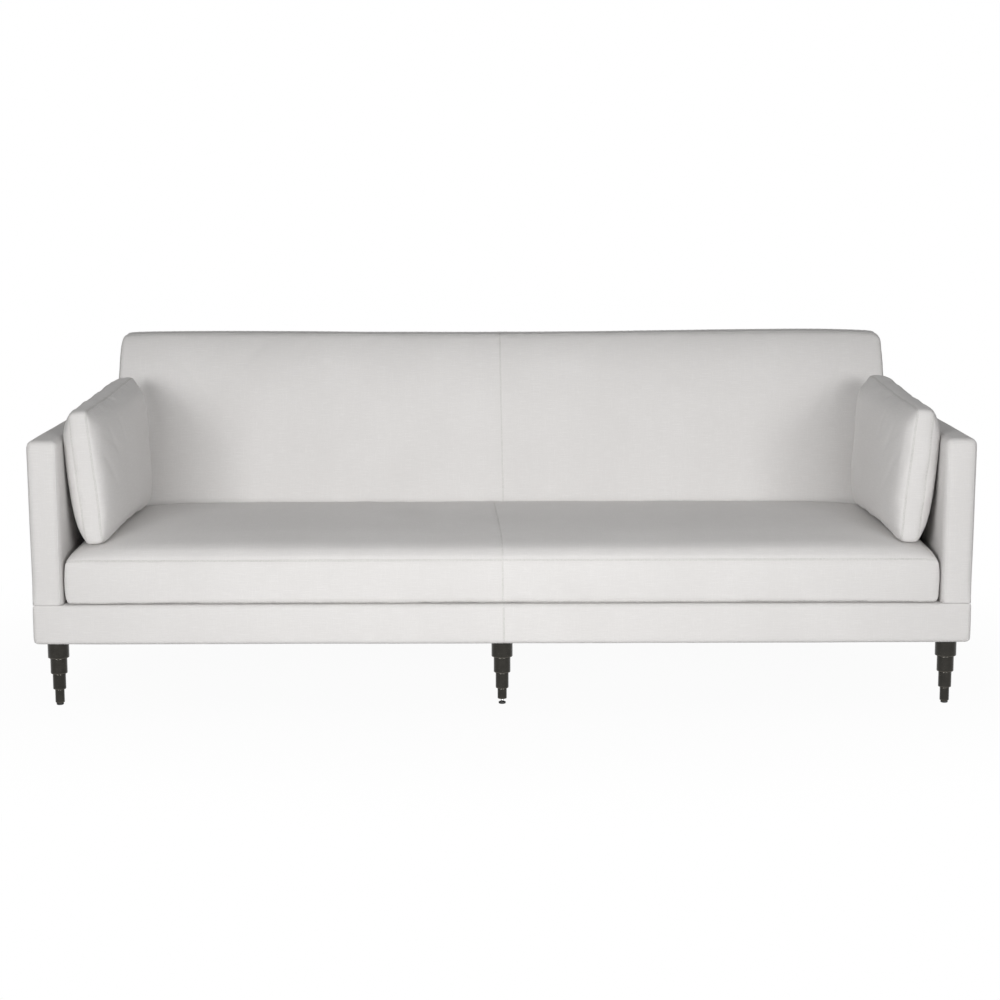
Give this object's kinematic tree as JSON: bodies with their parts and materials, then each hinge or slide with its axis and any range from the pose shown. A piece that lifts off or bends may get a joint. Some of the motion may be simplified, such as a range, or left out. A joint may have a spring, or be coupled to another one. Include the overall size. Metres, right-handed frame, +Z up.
{
  "type": "sofa",
  "caption": "Long upholstered sofa with straight arms, one full-length seat cushion, loose boxed side cushions and turned stepped legs with levelling glides.",
  "frame": {"origin": "on the floor under the middle of the sofa's overall box", "axes": "+Z up, +X to the right of someone looking at the sofa's front, so the sofa faces -Y"},
  "size_m": [2.3, 0.9, 0.8691],
  "materials": {
    "off_white_cloth": "plain weave, matt",
    "foam": "open foam and fibre wadding, matt",
    "timber": "planed, bare",
    "elastic_web": "woven, matt",
    "dark_bronze": "satin",
    "bright_steel": "bright",
    "black_nylon": "matt",
    "black_cambric": "non-woven, matt"
  },
  "bodies": {
    "frame": {"arm_cover_left": "off_white_cloth", "arm_cover_right": "off_white_cloth", "arm_front_post_left": "timber", "arm_front_post_right": "timber", "arm_pad_left": "foam", "arm_pad_right": "foam", "arm_rear_post_left": "timber", "arm_rear_post_right": "timber", "arm_top_rail_left": "timber", "arm_top_rail_right": "timber", "back_centre_post": "timber", "back_pad": "foam", "back_post_left": "timber", "back_post_right": "timber", "back_top_rail": "timber", "back_tuck_rail": "timber", "back_webbing": "elastic_web", "centre_stretcher": "timber", "corner_block_front_left": "timber", "corner_block_front_right": "timber", "corner_block_rear_left": "timber", "corner_block_rear_right": "timber", "deck_cover": "off_white_cloth", "deck_pad": "foam", "dust_cover": "black_cambric", "front_band_cover": "off_white_cloth", "front_rail": "timber", "inside_back_cover": "off_white_cloth", "leg_front_centre": "dark_bronze", "leg_front_left": "dark_bronze", "leg_front_right": "dark_bronze", "leg_rear_centre": "dark_bronze", "leg_rear_left": "dark_bronze", "leg_rear_right": "dark_bronze", "outside_back_cover": "off_white_cloth", "rear_band_cover": "off_white_cloth", "rear_rail": "timber", "seat_back_rail": "timber", "seat_webbing": "elastic_web", "side_rail_left": "timber", "side_rail_right": "timber"},
    "seat_cushion": {"seat_cushion": "off_white_cloth"},
    "side_cushion_left": {"side_cushion_left": "off_white_cloth"},
    "side_cushion_right": {"side_cushion_right": "off_white_cloth"},
    "glide_pad_front_left": {"glide_pad_front_left": "black_nylon"},
    "glide_stem_front_left": {"glide_stem_front_left": "bright_steel"},
    "glide_pad_front_centre": {"glide_pad_front_centre": "black_nylon"},
    "glide_stem_front_centre": {"glide_stem_front_centre": "bright_steel"},
    "glide_pad_front_right": {"glide_pad_front_right": "black_nylon"},
    "glide_stem_front_right": {"glide_stem_front_right": "bright_steel"},
    "glide_pad_rear_left": {"glide_pad_rear_left": "black_nylon"},
    "glide_stem_rear_left": {"glide_stem_rear_left": "bright_steel"},
    "glide_pad_rear_centre": {"glide_pad_rear_centre": "black_nylon"},
    "glide_stem_rear_centre": {"glide_stem_rear_centre": "bright_steel"},
    "glide_pad_rear_right": {"glide_pad_rear_right": "black_nylon"},
    "glide_stem_rear_right": {"glide_stem_rear_right": "bright_steel"}
  },
  "joints": [
    {"name": "seat_cushion_lift", "type": "slide", "parent": "frame", "child": "seat_cushion", "axis": [0, 0, 1], "range_m": [0, 0.64]},
    {"name": "side_cushion_left_lift", "type": "slide", "parent": "seat_cushion", "child": "side_cushion_left", "axis": [0, 0, 1], "range_m": [0, 0.52]},
    {"name": "side_cushion_right_lift", "type": "slide", "parent": "seat_cushion", "child": "side_cushion_right", "axis": [0, 0, 1], "range_m": [0, 0.52]},
    {"name": "glide_front_left_travel", "type": "slide", "parent": "frame", "child": "glide_pad_front_left", "axis": [0, 0, -1], "range_m": [0, 0.012]},
    {"name": "glide_front_left_turn", "type": "hinge", "parent": "glide_pad_front_left", "child": "glide_stem_front_left", "pos_m": [-1.1, -0.395, 0], "axis": [0, 0, -1], "range_deg": [0, 3460]},
    {"name": "glide_front_centre_travel", "type": "slide", "parent": "frame", "child": "glide_pad_front_centre", "axis": [0, 0, -1], "range_m": [-0.005, 0.012]},
    {"name": "glide_front_centre_turn", "type": "hinge", "parent": "glide_pad_front_centre", "child": "glide_stem_front_centre", "pos_m": [0, -0.395, 0], "axis": [0, 0, -1], "range_deg": [-1445, 3460]},
    {"name": "glide_front_right_travel", "type": "slide", "parent": "frame", "child": "glide_pad_front_right", "axis": [0, 0, -1], "range_m": [0, 0.012]},
    {"name": "glide_front_right_turn", "type": "hinge", "parent": "glide_pad_front_right", "child": "glide_stem_front_right", "pos_m": [1.1, -0.395, 0], "axis": [0, 0, -1], "range_deg": [0, 3460]},
    {"name": "glide_rear_left_travel", "type": "slide", "parent": "frame", "child": "glide_pad_rear_left", "axis": [0, 0, -1], "range_m": [0, 0.012]},
    {"name": "glide_rear_left_turn", "type": "hinge", "parent": "glide_pad_rear_left", "child": "glide_stem_rear_left", "pos_m": [-1.1, 0.395, 0], "axis": [0, 0, -1], "range_deg": [0, 3460]},
    {"name": "glide_rear_centre_travel", "type": "slide", "parent": "frame", "child": "glide_pad_rear_centre", "axis": [0, 0, -1], "range_m": [-0.005, 0.012]},
    {"name": "glide_rear_centre_turn", "type": "hinge", "parent": "glide_pad_rear_centre", "child": "glide_stem_rear_centre", "pos_m": [0, 0.395, 0], "axis": [0, 0, -1], "range_deg": [-1445, 3460]},
    {"name": "glide_rear_right_travel", "type": "slide", "parent": "frame", "child": "glide_pad_rear_right", "axis": [0, 0, -1], "range_m": [0, 0.012]},
    {"name": "glide_rear_right_turn", "type": "hinge", "parent": "glide_pad_rear_right", "child": "glide_stem_rear_right", "pos_m": [1.1, 0.395, 0], "axis": [0, 0, -1], "range_deg": [0, 3460]}
  ],
  "couplings": [
    {"joint": "glide_front_left_turn", "follows": "glide_front_left_travel", "rad_per_m": 5026.5},
    {"joint": "glide_front_centre_turn", "follows": "glide_front_centre_travel", "rad_per_m": 5026.5},
    {"joint": "glide_front_right_turn", "follows": "glide_front_right_travel", "rad_per_m": 5026.5},
    {"joint": "glide_rear_left_turn", "follows": "glide_rear_left_travel", "rad_per_m": 5026.5},
    {"joint": "glide_rear_centre_turn", "follows": "glide_rear_centre_travel", "rad_per_m": 5026.5},
    {"joint": "glide_rear_right_turn", "follows": "glide_rear_right_travel", "rad_per_m": 5026.5}
  ]
}
